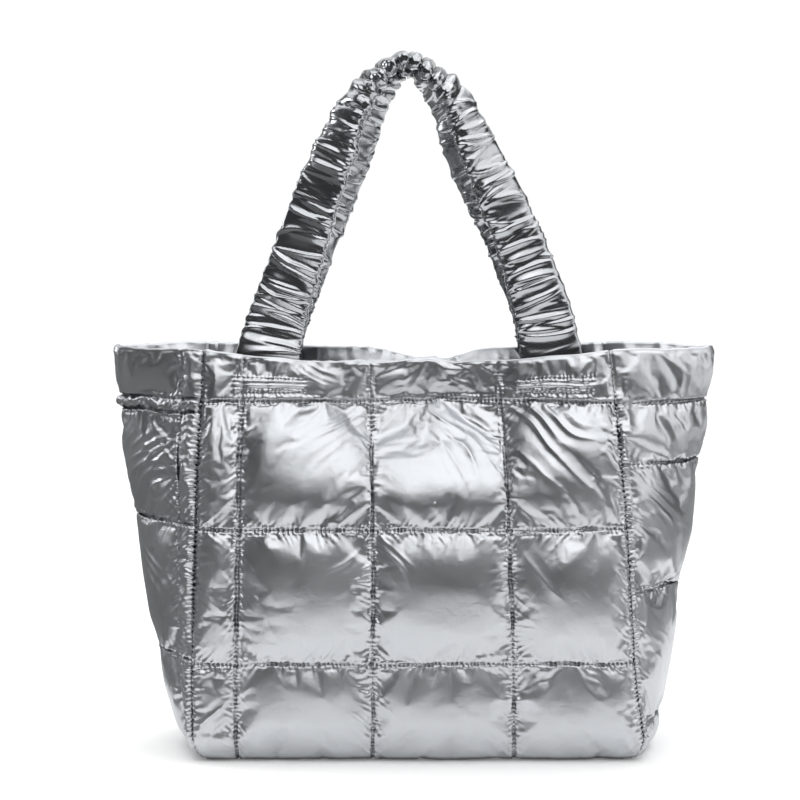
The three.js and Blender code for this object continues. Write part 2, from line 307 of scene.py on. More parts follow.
def stitchCrimps(along, away, seed):
    plan = crimps["stitch"]
    pitch = plan["pitch"]
    driftAlong, driftAway = plan["driftOver"]
    drift = plan["drift"] * pitch * softNoise(along / (driftAlong * pitch), away / (driftAway * pitch), seed)
    lean = plan["lean"] * lineNoise(along / (plan["leanOver"] * pitch), seed + 1) * away
    wave = np.abs(np.sin(np.pi * (along + drift + lean) / pitch))
    uneven = plan["even"] + plan["uneven"] * lineNoise(along / (plan["unevenOver"] * pitch), seed + 2)
    fade = np.exp(-((away / plan["reach"]) ** plan["fade"]))
    return plan["depth"] * uneven * (plan["level"] - wave) * fade


# One sort of pucker on one side of a seam: sharp ridges, each with a length and height of its own.
def puckers(along, away, crimp, seed):
    pitch, shared = crimp["pitch"], crimps["pucker"]
    driftAlong, driftAway = shared["driftOver"]
    lean = shared["leanMore"] * lineNoise(along / (shared["leanOver"] * pitch), seed)
    lean = crimp["lean"] * np.clip(lean, -1, 1)
    drift = shared["drift"] * softNoise(along / (driftAlong * pitch), away / driftAway, seed + 1)
    place = (along + lean * away) / pitch + drift
    cell = np.floor(place).astype(int)
    sorts = np.random.default_rng(seed + 2).uniform(shared["least"], 1, (2, shared["sorts"]))
    long, tall = sorts[:, cell % shared["sorts"]]
    ridge = 1 - 2 * np.abs(place - cell - 0.5)
    fade = np.clip(1 - away / (crimp["reach"] * long), 0, 1) * (1 - np.exp(-((away / shared["clear"]) ** 2)))
    return crimp["depth"] * tall * ridge ** shared["sharp"] * fade


def seamCrimps(along, offset, seed, strength, sunk=1):
    away = np.abs(offset)
    groove = crimps["groove"]
    fromGroove = offset + groove["wander"] * lineNoise(along / groove["wanderOver"], seed + 9)
    uneven = groove["even"] + groove["uneven"] * lineNoise(along / groove["unevenOver"], seed + 10)
    deep = sunk * groove["depth"] * uneven
    total = stitchCrimps(along, away, seed) - deep * np.exp(-((fromGroove / groove["reach"]) ** 2))
    for side, turn in ((-1, 3), (1, 11)):  # each side has puckers of its own
        drawn = puckers(along, away, crimps["short"], seed + turn)
        drawn = drawn + puckers(along, away, crimps["long"], seed + turn + 4)
        total += np.where(offset * side > 0, strength * drawn, 0)
    return total


# Stitching, in mm: one spindle of thread for each stitch, in the valley of its seam. "profile" gives the
# place of each of its rings along it and how full the ring is.
thread = {
    "length": 2.1, "thick": 0.55, "lift": 0.2, "slant": 9, "slantLeast": 0.4, "sides": 5, "evenedOver": 5,
    "aimedOver": 0.5, "profile": ((-0.5, 0.3), (-0.3, 1), (0.3, 1), (0.5, 0.3)),
}
stitched = []


# Running mean of a line's points.
def evened(points, count):
    padded = np.pad(points, ((count // 2, count // 2), (0, 0)), "edge")
    return np.stack([np.convolve(padded[:, i], np.ones(count) / count, "valid") for i in range(3)], -1)


def stitchesAlong(name, lines, seed):
    spread = np.random.default_rng(seed)
    pitch, aimed = crimps["stitch"]["pitch"], thread["aimedOver"]
    places, ways, outs = [], [], []
    for points, facing in lines:
        line = evened(points, thread["evenedOver"])
        length = lengthsOf(line)
        at = np.arange(pitch / 2, length[-1], pitch)
        places.append(alongLine(line, length, at))
        ways.append(alongLine(line, length, at + aimed) - alongLine(line, length, at - aimed))
        outs.append(alongLine(facing, length, at))
    place, way, out = (np.concatenate(parts) for parts in (places, ways, outs))
    way = unit(way)
    side = unit(np.cross(out, way))
    out = np.cross(way, side)
    slant = np.radians(thread["slant"]) * spread.uniform(thread["slantLeast"], 1, len(place))[:, None]
    way, side = way * np.cos(slant) + side * np.sin(slant), side * np.cos(slant) - way * np.sin(slant)
    angle = 2 * np.pi * np.arange(thread["sides"]) / thread["sides"]
    spoke = side[:, None] * np.cos(angle)[None, :, None] + out[:, None] * np.sin(angle)[None, :, None]
    rings = []
    for along, full in thread["profile"]:
        centre = place + way * along * thread["length"] + out * thread["lift"] * full
        rings.append(centre[:, None] + spoke * full * thread["thick"] / 2)
    points = np.stack(rings, 1)
    index = np.arange(points.size // 3).reshape(points.shape[:3])
    after = np.roll(index, -1, axis=2)
    faces = np.stack([index[:, :-1], after[:, :-1], after[:, 1:], index[:, 1:]], -1).reshape(-1, 4).tolist()
    faces += index[:, 0, ::-1].tolist() + index[:, -1].tolist()
    return meshObject(name, points.reshape(-1, 3) * mm, faces)


# Slack cloth hangs in slanting folds. Each row: place across and up, lean from straight down in degrees,
# spacing of the folds, half width and half length of the patch, depth.
drapes = {
    "front": (
        (104, 237, -55, 6.5, 26, 45, 1.3), (60, 205, -35, 10, 24, 40, 0.8), (198, 226, 50, 8, 30, 48, 1.7),
        (262, 228, 47, 9.5, 40, 62, 2.4), (152, 278, -32, 8, 18, 26, 1.5), (188, 282, 18, 10, 16, 20, 0.8),
        (86, 286, 62, 6, 14, 24, 0.9), (284, 276, -40, 7, 14, 20, 0.9), (15, 132, 42, 9, 18, 34, 1.6),
        (11, 42, -38, 9, 16, 26, 1.7), (142, 152, 40, 7.5, 18, 26, 1.0), (112, 150, -50, 8, 18, 26, 0.9),
        (250, 140, 35, 10, 24, 36, 0.9), (45, 128, 38, 11, 22, 40, 0.9)),
    "back": (
        (120, 226, 50, 8, 30, 48, 1.6), (205, 230, -52, 8, 30, 50, 1.6), (45, 228, 45, 9.5, 36, 60, 2.0),
        (292, 132, -42, 9, 18, 34, 1.5), (150, 140, 38, 9, 22, 32, 0.9), (160, 278, -30, 8, 20, 26, 1.3)),
    "left": (
        (-42, 217, 62, 6.5, 22, 34, 2.4), (-22, 205, 50, 7, 20, 30, 2.2), (-34, 190, 58, 7.5, 26, 34, 2.4),
        (-40, 124, -48, 7.5, 22, 34, 2.2), (-34, 44, 40, 8, 18, 26, 1.8), (-45, 225, 40, 8, 16, 24, 0.9),
        (15, 190, -45, 8, 24, 34, 1.2), (30, 110, 50, 9, 24, 34, 1.2)),
    "right": (
        (-40, 172, 55, 7.5, 22, 28, 1.5), (-12, 165, 78, 8, 18, 24, 1.0), (-42, 70, 42, 9, 22, 30, 0.9),
        (-40, 222, 20, 7, 20, 16, 0.8), (30, 165, -50, 8, 24, 30, 1.3), (35, 70, -40, 9, 22, 30, 1.0)),
}
# How the folds of a patch fan out along it, wander and differ in height. They end "clear" of the seams.
drapeForm = {
    "fan": 0.35, "wander": 0.6, "wanderOver": (2, 25), "even": 0.7, "uneven": 0.9, "unevenEach": 0.8,
    "unevenOver": 30, "least": 0.1, "most": 1.5, "level": 0.8, "blunt": 0.8, "clear": 1.6,
    "seed": 71, "start": 9,
}


def drapeFolds(name, across, up):
    form = drapeForm
    start = form["start"]
    total = np.zeros_like(across)
    for number, (acrossAt, upAt, lean, spacing, wide, long, depth) in enumerate(drapes[name]):
        seed = form["seed"] + 2 * number
        turn = math.radians(lean)
        beside = (across - acrossAt) * math.cos(turn) + (up - upAt) * math.sin(turn)
        along = (across - acrossAt) * math.sin(turn) - (up - upAt) * math.cos(turn)
        fold = beside / (spacing * (1 + form["fan"] * np.clip(along / long, -1, 1)))
        overFolds, overLength = form["wanderOver"]
        fold = fold + form["wander"] * softNoise(fold / overFolds + start, along / overLength + start, seed)
        height = softNoise(fold * form["unevenEach"] + start, along / form["unevenOver"] + start, seed + 1)
        height = np.clip(form["even"] + form["uneven"] * height, form["least"], form["most"])
        wave = form["level"] - np.abs(np.sin(np.pi * fold)) ** form["blunt"]
        total += depth * hump(beside, wide) * hump(along, long) * wave * height
    return total


# Quilting before the cloth settles, in mm: how far seams and rim stray, and how the cells start out.
quilting = {
    "columns": {"stray": 0.9, "over": 24},
    "rows": {"stray": 0.9, "over": (26, 40), "belowRim": 20, "aboveFoot": 40},
    "rim": {"stray": 1.1, "over": 19, "within": 25},
    "edge": 0.15, "puff": 4.5,
    "ripple": {"by": 0.8, "over": 15},
    "foot": {"puff": 0.6, "over": 30},
    "hemOver": 4,
    "quickPuff": 8,
}
# Inner cloth, in mm: it swells in each cell and stands full below the rim, and lies close behind the handles'
# ends. It keeps one row in "every", and stretches farther than "thinFrom" from a seam are thinned most.
lining = {
    "swell": {"by": 2.5, "even": 0.7, "uneven": 0.8, "over": (14, 22)},
    "hem": {"by": 10, "even": 0.8, "uneven": 0.35, "over": (11, 25), "blunt": 0.4},
    "gathers": {"pitch": 12, "depth": 2, "reach": 34, "lean": 0.7, "from": 3},
    "tabGap": 4, "tabFade": 10, "every": 4, "thinFrom": 6, "thinMore": 10, "rollSteps": 9,
}


# The wall's middle, with seams and rim that stray a little from straight lines.
def strayedWall(wallPoint, across, up, seed):
    columns, rows, rim = quilting["columns"], quilting["rows"], quilting["rim"]
    acrossGrid, upGrid = np.meshgrid(across, up)
    share = (acrossGrid - across[0]) / (across[-1] - across[0])
    clear = np.sin(np.pi * share) ** 0.5
    sideways = softNoise(upGrid / columns["over"], acrossGrid / columns["over"], seed + 3)
    sideways = columns["stray"] * clear * sideways
    upwards = (rows["stray"] * np.clip((up[-1] - upGrid) / rows["belowRim"], 0, 1)
               * np.clip(upGrid / rows["aboveFoot"], 0, 1)
               * softNoise(acrossGrid / rows["over"][0], upGrid / rows["over"][1], seed + 4))
    middle = wallPoint(acrossGrid + sideways, upGrid + upwards)
    nearRim = np.clip((upGrid - up[-1] + rim["within"]) / rim["within"], 0, 1)
    middle[..., 2] += rim["stray"] * clear * nearRim * lineNoise(acrossGrid / rim["over"], seed + 6)
    return middle


# How far the outer cloth starts out from the wall's middle.
def startingLift(plan, across, up, upMarks, plump):
    acrossGrid, upGrid = np.meshgrid(across, up)
    ripple, foot = quilting["ripple"], quilting["foot"]
    lift = np.full_like(plump, bag["wall"] / 2)
    lift[:, [0, -1]] = quilting["edge"]
    lift[0] = quilting["edge"]
    ripples = ripple["by"] * softNoise(acrossGrid / ripple["over"], upGrid / ripple["over"], plan["seed"])
    heights = [upMarks[1], upMarks[1] + foot["over"], upMarks[-2], upMarks[-2] + quilting["hemOver"]]
    puff = quilting["puff"] * np.interp(upGrid, heights, [foot["puff"], 1, 1, plan["hem"]])
    return lift + plump * (puff + ripples)


# How slack the cloth is, from 0 to 1: beside its seams and in the upper part, but hardly in the hem.
def slackMap(plan, across, up, acrossMarks, upMarks):
    slack = satinCloth["slack"]
    upGrid = np.meshgrid(across, up)[1]
    inHem = upGrid > upMarks[-2]
    slackFrom, slackOver = plan["slack"]
    loose = np.clip((upGrid - slackFrom) / slackOver, 0, 1)
    tight = plan["tight"] + (1 - plan["tight"]) * loose
    byColumns = np.exp(-fromMarks(across, acrossMarks)[None, :] / slack["within"]) * tight
    byRows = (np.exp(-fromMarks(up, upMarks)[:, None] / slack["within"] * slack["rowsCloser"])
              * np.where(inHem, slack["hemRows"], slack["rows"] + (1 - slack["rows"]) * loose))
    loose = slack["cloth"] * loose * np.where(inHem, slack["hem"], 1)
    return np.clip(loose + slack["seams"] * np.maximum(byColumns, byRows), 0, 1)


# Fine relief of the outer cloth: crimps along its seams, slanting folds, and ridges over the handles' ends.
def panelRelief(name, plan, across, up, acrossMarks, upMarks, plump, x, tabs):
    seed, form = plan["seed"], crimps["tab"]
    acrossGrid, upGrid = np.meshgrid(across, up)
    relief = np.zeros_like(acrossGrid)
    hemShare = np.where(upGrid > upMarks[-2], crimps["inHem"], 1)
    for number, mark in enumerate(acrossMarks):
        sunk = crimps["atEdges"] if number in (0, len(acrossMarks) - 1) else 1
        relief += seamCrimps(upGrid, acrossGrid - mark, seed + 20 * number, plan["drawn"], sunk) * hemShare
    for number, mark in enumerate(upMarks[:-1]):
        strength = crimps["inRows"] * plan["drawn"]
        relief += seamCrimps(acrossGrid, upGrid - mark, seed + 200 + 20 * number, strength) * hemShare**0.5
    relief += drapeFolds(name, acrossGrid, upGrid) * np.minimum(1, drapeForm["clear"] * plump)
    for number, tab in enumerate(tabs):
        beside = np.maximum(0, np.abs(x - tab["x"]) - tab["width"] / 2)
        for z in tab["rows"]:
            away = np.hypot(upGrid - runAt(z), beside)
            relief += form["stitch"] * stitchCrimps(acrossGrid, away, seed + 400 + 20 * number + int(z))
        fromMiddle = np.abs(upGrid - runAt(np.mean(tab["rows"])))
        box = np.exp(-((beside / form["soft"]) ** 2)) * np.clip(1 - fromMiddle / form["half"], 0, 1) ** 0.5
        overAcross, overUp = form["wanderOver"]
        wander = form["wander"] * softNoise(acrossGrid / overAcross, upGrid / overUp, seed)
        ridges = form["ridge"] * np.cos(2 * np.pi * (upGrid + wander) / form["spacing"])
        relief += box * (form["rise"] + ridges)
    return relief


# Rows of a grid where a handle's end is sewn on, and which of their points are.
def tabRows(tabs, up, points):
    for tab in tabs:
        for z in tab["rows"]:
            row = np.argmin(np.abs(up - runAt(z)))
            yield row, np.abs(points[row, :, 0] - tab["x"]) < tab["width"] / 2


# Lines of points that are stitched, each with the way the cloth faces there.
def sewnLines(outer, facing, across, up, acrossMarks, upMarks, tabs):
    columns = [np.argmin(np.abs(across - mark)) for mark in acrossMarks[1:-1]]
    rows = [np.argmin(np.abs(up - mark)) for mark in upMarks[1:-1]]
    lines = [(outer[:, i], facing[:, i]) for i in columns] + [(outer[i], facing[i]) for i in rows]
    for row, sewn in tabRows(tabs, up, outer):
        lines.append((outer[row, sewn], facing[row, sewn]))
    return lines


# 0 behind the stitched handle ends, 1 away from them.
def clearOfTabs(x, tabs):
    share = np.ones_like(x)
    for tab in tabs:
        beside = np.abs(x - tab["x"]) - tab["width"] / 2
        share *= np.clip((beside - lining["tabGap"]) / lining["tabFade"], 0, 1)
    return share


def innerCloth(plan, middle, plump, across, up, acrossMarks, flip, tabs):
    seed, gathers = plan["seed"], lining["gathers"]
    acrossGrid, upGrid = np.meshgrid(across, up)

    def unevenly(part, partSeed):
        overAcross, overUp = part["over"]
        return part["even"] + part["uneven"] * softNoise(acrossGrid / overAcross, upGrid / overUp, partSeed)

    swell = lining["swell"]["by"] * plump * unevenly(lining["swell"], seed + 8)
    fromRim = np.clip((up[-1] - upGrid) / bag["hem"], 0, 1)
    puffed = np.sin(np.pi * fromRim) * cellArch(across, acrossMarks)[None, :] ** lining["hem"]["blunt"]
    puffed = puffed * unevenly(lining["hem"], seed + 9)
    gathered = puckers(acrossGrid, bag["hem"] * fromRim + gathers["from"], gathers, seed + 15)
    swell += (lining["hem"]["by"] * puffed + gathered) * clearOfTabs(middle[..., 0], tabs)
    return middle - gridNormals(middle) * flip * (bag["wall"] / 2 + swell)[..., None]


# Triangles between two rows of points that run side by side, whatever their numbers.
def zipFaces(first, second):
    faces, i, k = [], 0, 0
    lastI, lastK = len(first) - 1, len(second) - 1
    while i < lastI or k < lastK:
        if k == lastK or (i < lastI and (i + 1) / lastI <= (k + 1) / lastK):
            faces.append((first[i], first[i + 1], second[k]))
            i += 1
        else:
            faces.append((first[i], second[k + 1], second[k]))
            k += 1
    return faces


# Joins the outer cloth to the inner one over a rolled rim, closes the seam edges and thins plain stretches.
def closedPanel(name, outer, inner, flip, keeps, awayFromSeam):
    rows, columns = outer.shape[:2]
    rim, rimIn = outer[-1], inner[-1]
    centre, reach = (rim + rimIn) / 2, (rim - rimIn) / 2
    tall = np.linalg.norm(reach, axis=-1, keepdims=True) * np.array([0, 0, 1])
    turns = np.linspace(0, np.pi, lining["rollSteps"])[1:-1]
    roll = np.stack([centre + reach * math.cos(turn) + tall * math.sin(turn) for turn in turns])
    kept = np.unique(np.linspace(0, rows - 1, rows // lining["every"]).round().astype(int))[::-1]
    sheet = np.concatenate([outer, roll, inner[kept]])
    index = np.arange(sheet.shape[0] * columns).reshape(-1, columns)
    faces = quadsOf(*index.shape)[:, ::flip].tolist()
    crown = rows + len(turns) // 2
    outside, within = index[:crown + 1], index[crown:][::-1]
    for column, turn in ((0, -flip), (columns - 1, flip)):
        closing = zipFaces(outside[:, column].tolist(), within[:, column].tolist())
        faces += [face[::turn] for face in closing]
    bottom = np.stack([index[0, :-1], index[-1, :-1], index[-1, 1:], index[0, 1:]], -1)
    faces += bottom[:, ::flip].tolist()
    piece = meshObject(name, sheet.reshape(-1, 3) * mm, faces)
    plain = piece.vertex_groups.new(name="plain")
    free = np.ones(sheet.shape[:2])
    free[:rows] = awayFromSeam > lining["thinFrom"]
    plain.add(np.flatnonzero(free.ravel()).tolist(), 1.0, "REPLACE")
    thinner = piece.modifiers.new("thinner", "DECIMATE")
    thinner.ratio = keeps
    thinner.vertex_group = "plain"
    thinner.vertex_group_factor = lining["thinMore"]
    evaluated = piece.evaluated_get(bpy.context.evaluated_depsgraph_get())
    thinned = bpy.data.meshes.new_from_object(evaluated)
    piece.modifiers.clear()
    piece.data = thinned
    piece.vertex_groups.clear()
    thinned.calc_loop_triangles()
    report(f"{name} closed, thinned to {len(thinned.loop_triangles)} triangles")
    return piece


# A quilted panel: the outer cloth is blown up between its stitched lines, the inner one swells a little.
def quiltedPanel(name, wallPoint, plan, acrossMarks, upMarks, flip, tabs=()):
    across, acrossIsMark = stepsBetween(acrossMarks, plan["pitch"])
    up, upIsMark = stepsBetween(upMarks, plan["pitch"])
    middle = strayedWall(wallPoint, across, up, plan["seed"])
    normals = gridNormals(middle) * flip
    held = acrossIsMark[None, :] | upIsMark[:, None]
    for row, sewn in tabRows(tabs, up, middle):
        held[row] |= sewn
    plump = np.sqrt(cellArch(across, acrossMarks)[None, :] * cellArch(up, upMarks)[:, None])
    outer = middle + normals * startingLift(plan, across, up, upMarks, plump)[..., None]
    slack = slackMap(plan, across, up, acrossMarks, upMarks)
    outer = eased(settleCloth(name + "_cloth", outer, held, flip, slack), held)
    fineAcross = stepsBetween(acrossMarks, plan["fine"])[0]
    fineUp = stepsBetween(upMarks, plan["fine"])[0]
    columnAt = np.interp(fineAcross, across, np.arange(len(across)))
    rowAt = np.interp(fineUp, up, np.arange(len(up)))
    outer, middle, plump = (sampled(sampled(grid, columnAt, 1), rowAt, 0) for grid in (outer, middle, plump))
    relief = panelRelief(name, plan, fineAcross, fineUp, acrossMarks, upMarks, plump, middle[..., 0], tabs)
    outer += gridNormals(outer) * flip * relief[..., None]
    outer[..., 2] = np.maximum(outer[..., 2], 0)
    facing = gridNormals(outer) * flip
    lines = sewnLines(outer, facing, fineAcross, fineUp, acrossMarks, upMarks, tabs)
    stitched.append(stitchesAlong(name + "_stitches", lines, plan["seed"]))
    inner = innerCloth(plan, middle, plump, fineAcross, fineUp, acrossMarks, flip, tabs)
    awayFromSeam = np.minimum(fromMarks(fineAcross, acrossMarks)[None, :],
                              fromMarks(fineUp, upMarks)[:, None])
    return closedPanel(name, outer, inner, flip, plan["keeps"], awayFromSeam)


# Columns are shares of the width, rows are heights in mm. "pitch" and "fine" are the spacing of the cloth
# as it settles and after, "keeps" the share of triangles left, and "slack" where up the panel the cloth
# begins to be slack and over how far. "tight" is the slack beside columns below that, "hem" the share
# of the puff in the hem, and "drawn" the strength of the puckers.
panels = {
    "front": {"columns": (0, 0.1, 0.41, 0.725, 1), "rows": (67, 159, 244), "pitch": 1.6, "fine": 0.75,
              "keeps": 0.46, "slack": (150, 120), "tight": 0.12, "hem": 0.3, "drawn": 1.1,
              "seed": 11},
    "back": {"columns": (0, 0.275, 0.59, 0.9, 1), "rows": (67, 159, 244), "pitch": 2.2, "fine": 1.0,
             "keeps": 0.55, "slack": (150, 120), "tight": 0.12, "hem": 0.3, "drawn": 1.1,
             "seed": 23},
    "left": {"columns": (-1, -0.81, 0.53, 1), "rows": (70, 162, 237, 246), "pitch": 1.8, "fine": 0.8,
             "keeps": 0.6, "slack": (-60, 200), "tight": 0.15, "hem": 0.5, "drawn": 1.7,
             "seed": 37},
    "right": {"columns": (-1, 0.25, 1), "rows": (24, 115, 202, 243), "pitch": 1.8, "fine": 0.8,
              "keeps": 0.6, "slack": (-60, 200), "tight": 0.4, "hem": 0.8, "drawn": 1.3,
              "seed": 51},
}
handleTabs = {
    "front": ({"x": -100, "width": 44, "rows": (251, 263)}, {"x": 98, "width": 50, "rows": (251, 262)}),
    "back": ({"x": -96, "width": 46, "rows": (251, 263)}, {"x": 94, "width": 46, "rows": (251, 263)}),
}


def longPanel(name, face):
    plan = panels[name]
    width = bag["right"][0] - bag["left"][0]
    columns = [share * width for share in plan["columns"]]
    rows = [0] + [runAt(z) for z in (*plan["rows"], bag["height"])]

    def wallPoint(across, up):
        return longWall(face, across / width, up)

    return quiltedPanel(name, wallPoint, plan, columns, rows, -face, handleTabs[name])


def gusset(name, side):
    plan = panels[name]
    half = bag["depth"][0]
    columns = [share * half for share in plan["columns"]]
    rows = [0, *plan["rows"], bag["height"]]

    def wallPoint(across, up):
        return gussetWall(side, across / half, up)

    return quiltedPanel(name, wallPoint, plan, columns, rows, side)


frontPanel = longPanel("front", -1)
backPanel = longPanel("back", 1)
leftGusset = gusset("left", -1)
rightGusset = gusset("right", 1)

# Base, in mm: lies flat on the floor, with shallow stitched lines that carry on from the front
baseQuilt = {"columns": panels["front"]["columns"], "pitch": 2.6, "groove": 1.4, "steep": 2.2, "swell": 4,
             "inset": 0.4, "crimp": 0.5, "columnSeed": 600, "rowSeed": 800}


def basePanel():
    inset, columnSeed, rowSeed = baseQuilt["inset"], baseQuilt["columnSeed"], baseQuilt["rowSeed"]
    half = bag["depth"][0] - bag["underlap"] - inset
    length = bag["right"][0] - bag["left"][0]
    acrossMarks = [share * length for share in baseQuilt["columns"]]
    upMarks = [-half, 0, half]
    across = stepsBetween(acrossMarks, baseQuilt["pitch"])[0]
    up = stepsBetween(upMarks, baseQuilt["pitch"])[0]
    x, y = np.meshgrid(across, up)
    flatHalf = bag["depth"][0] - bag["corner"]
    left, right = (gussetWall(side, y / flatHalf, y * 0)[..., 0] - side * inset for side in (-1, 1))
    plump = np.sqrt(cellArch(across, acrossMarks)[None, :] * cellArch(up, upMarks)[:, None])
    crimp = sum(stitchCrimps(y, np.abs(x - mark), columnSeed + int(mark)) for mark in acrossMarks)
    crimp = crimp + sum(stitchCrimps(x, np.abs(y - mark), rowSeed + int(mark)) for mark in upMarks)
    crimp = baseQuilt["crimp"] * crimp
    under = np.maximum(0, baseQuilt["groove"] * (1 - np.minimum(1, baseQuilt["steep"] * plump)) - crimp)
    placed = left + (right - left) * x / length
    outer = np.stack([placed, y, under], -1)[::-1]
    inner = np.stack([placed, y, bag["wall"] + baseQuilt["swell"] * plump + crimp], -1)[::-1]
    rows, columns = x.shape
    index = np.arange(2 * rows * columns).reshape(2, rows, columns)
    faces = quadsOf(rows, columns).tolist() + quadsOf(rows, columns, rows * columns)[:, ::-1].tolist()
    rings = [(index[:, 0, :], 1), (index[:, -1, :], -1), (index[:, :, 0], -1), (index[:, :, -1], 1)]
    for (low, high), turn in rings:
        faces += np.stack([low[:-1], high[:-1], high[1:], low[1:]], -1)[:, ::turn].tolist()
    return meshObject("base", np.concatenate([outer, inner]).reshape(-1, 3) * mm, faces)


bottomPanel = basePanel()
report("base laid")

# Handles, in mm and degrees: a tube of satin gathered on a strap that leaves the rim flat and turns
# edge-on at the top. The back one is "narrower" there, and shows behind the front one.
handles = {
    "x": (-101, -101, -100.5, -96, -79, -54.5, -30, -7, 21, 45.5, 75, 92, 95, 97, 97),
    "z": (247, 262, 278, 296, 350, 417, 464, 480, 464, 417, 350, 296, 278, 262, 247),
    "out": (0, 0, 0, 22, 21, 22, 19, 17, 19, 22, 21, 22, 0, 0, 0),
    "width": (44, 44, 44, 42, 37, 33, 28, 26, 27, 31, 35, 41, 43, 44, 44),
    "thick": (5, 5, 7, 10, 12, 13, 14, 14, 14, 13, 12, 10, 7, 5, 5),
    "twist": (0, 0, 0, 0, 10, 32, 64, 90, 64, 32, 10, 0, 0, 0, 0),
    "front": {"face": -1, "narrower": 0, "rise": 1, "seed": 5},
    "back": {"face": 1, "narrower": 0.35, "rise": 0.965, "seed": 8},
    "narrowing": 1.5, "step": 0.75, "around": 104, "dense": 3000, "round": 0.8, "behind": 3.0,
}
# Gathering of the satin, in mm: folds all round, gathers at the inner edge and pillows round the top.
ruche = {
    "folds": {"every": 2.0, "depth": 2.9, "thin": (1.0, 2.2), "slant": 3.5, "bend": 2.5, "span": (1.2, 2.8),
              "round": 0, "level": 1},
    "gathers": {"every": 1.8, "depth": 1.9, "thin": (0.9, 1.8), "slant": 1.5, "bend": 0.8, "span": (0.5, 1.1),
                "round": 0.45, "level": 0.5},
    "steep": (0.7, 1.7), "least": 0.35, "blunt": 0.6,
    "swell": {"by": 1.1, "over": 13, "ring": (5, 2)},
    "bulge": {"every": 11, "depth": 4.0, "drawnIn": 1.6, "level": 0.6, "tilt": 2.5, "wander": 5,
              "wanderOver": 23, "row": 3},
    "top": {"from": 425, "over": 45, "calmer": 0.35},
    "foot": {"below": 4, "over": 14, "least": 0.15},
    "edge": 0.6, "edgeBlunt": 0.7,
}


# Folds across a strap, each a crest with its own slant and bend, steeper on one side than on the other.
# With "round" above 0 they keep near the inner edge, at angle 0.
def crests(along, angle, plan, seed):
    spread = np.random.default_rng(seed)
    total = np.zeros(np.broadcast_shapes(along.shape, angle.shape))
    for place in np.arange(0, along.max(), plan["every"]):
        middle = spread.normal(0, plan["round"]) if plan["round"] else spread.uniform(-np.pi, np.pi)
        turn = (angle - middle + np.pi) % (2 * np.pi) - np.pi
        slant, bend = spread.normal(0, plan["slant"]), spread.normal(0, plan["bend"])
        away = along - place - spread.uniform(0, plan["every"])
        away = away - slant * np.sin(turn) - bend * (1 - np.cos(turn))
        thin = spread.uniform(*plan["thin"]) * np.where(away > 0, *spread.permutation(ruche["steep"]))
        tall = spread.uniform(ruche["least"], 1) * hump(turn, spread.uniform(*plan["span"])) ** ruche["blunt"]
        total = np.maximum(total, tall / (1 + (away / thin) ** 2))
    return plan["depth"] * total


# How far the gathered satin stands out from its strap, at lengths along it and angles round it.
def gathersOn(along, angle, z, seed):
    folds, gathers, swell, bulge = (ruche[key] for key in ("folds", "gathers", "swell", "bulge"))
    top, foot = ruche["top"], ruche["foot"]
    ring = swell["ring"][0] + swell["ring"][1] * np.sin(angle)
    swelling = swell["by"] * softNoise(along / swell["over"] + 0 * angle, ring, seed)
    wander = bulge["wander"] * softNoise(along / bulge["wanderOver"], bulge["row"] + 0 * along, seed + 1)
    sway = bulge["tilt"] * np.sin(angle + seed) + wander
    pillow = np.sqrt(np.abs(np.sin(np.pi * (along + sway) / bulge["every"]))) - bulge["level"]
    atTop = np.clip((z - top["from"]) / top["over"], 0, 1)[:, None]
    flank = ruche["edge"] + (1 - ruche["edge"]) * np.abs(np.sin(angle)) ** ruche["edgeBlunt"]
    free = np.clip((z - bag["height"] + foot["below"]) / foot["over"], foot["least"], 1)[:, None]
    total = flank * (crests(along, angle, folds, seed + 2) - folds["level"] + swelling)
    total = total * (1 - top["calmer"] * atTop)
    total = total + crests(along, angle, gathers, seed + 3) - gathers["level"]
    return free * (total + atTop * (bulge["depth"] * pillow - bulge["drawnIn"]))


# Points that the middle of a strap goes through: sewn inside the rim below, free above it.
def strapPoints(plan):
    rim = bag["height"]
    x, z, out, thick = (np.array(handles[key], float) for key in ("x", "z", "out", "thick"))
    above = z > rim
    climb = np.maximum(0, z - rim) / (max(z) - rim)
    x = x * (1 - plan["narrower"] * climb ** handles["narrowing"])
    z = np.where(above, rim + (z - rim) * plan["rise"], z)
    onWall = np.minimum(z, rim)
    left, right = planAt["left"](onWall / rim), planAt["right"](onWall / rim)
    wallY = np.abs(longWall(plan["face"], (x - left) / (right - left), runAt(onWall))[:, 1])
    y = plan["face"] * np.where(above, out, wallY - handles["behind"] - thick / 2)
    return np.stack([x, y, z], -1)


def flattened(value):
    return np.sign(value) * np.abs(value) ** handles["round"]


